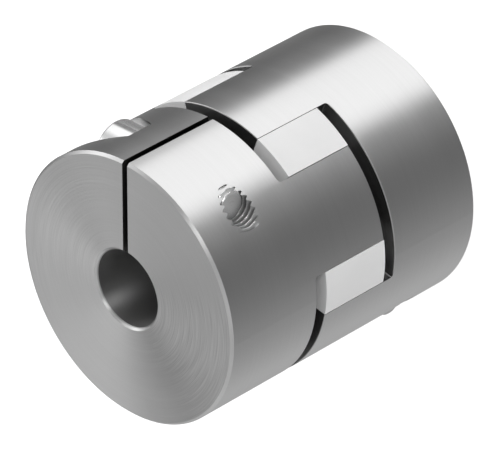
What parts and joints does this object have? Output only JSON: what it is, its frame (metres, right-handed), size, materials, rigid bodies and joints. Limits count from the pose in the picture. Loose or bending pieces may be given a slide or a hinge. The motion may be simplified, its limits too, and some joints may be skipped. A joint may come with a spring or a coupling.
{
  "type": "shaft coupling",
  "caption": "Zero-backlash jaw coupling: clamping hubs with interlocking jaws around a white elastomer spider, for joining shafts end to end.",
  "frame": {"origin": "centre of the lower hub's end face, on the axis of both bores", "axes": "+Z along the shafts from the lower hub to the upper one, +Y towards the upper hub's slit, -X towards the head of the upper hub's screw"},
  "size_m": [0.042, 0.042, 0.05],
  "materials": {
    "lower_hub": "fine turned",
    "spider": "moulded satin",
    "upper_hub": "fine turned",
    "lower_clamp_screw": "bright",
    "upper_clamp_screw": "bright"
  },
  "bodies": {
    "root": {"lower_hub": "lower_hub", "spider": "spider", "upper_hub": "upper_hub", "lower_clamp_screw": "lower_clamp_screw", "upper_clamp_screw": "upper_clamp_screw"}
  },
  "joints": []
}
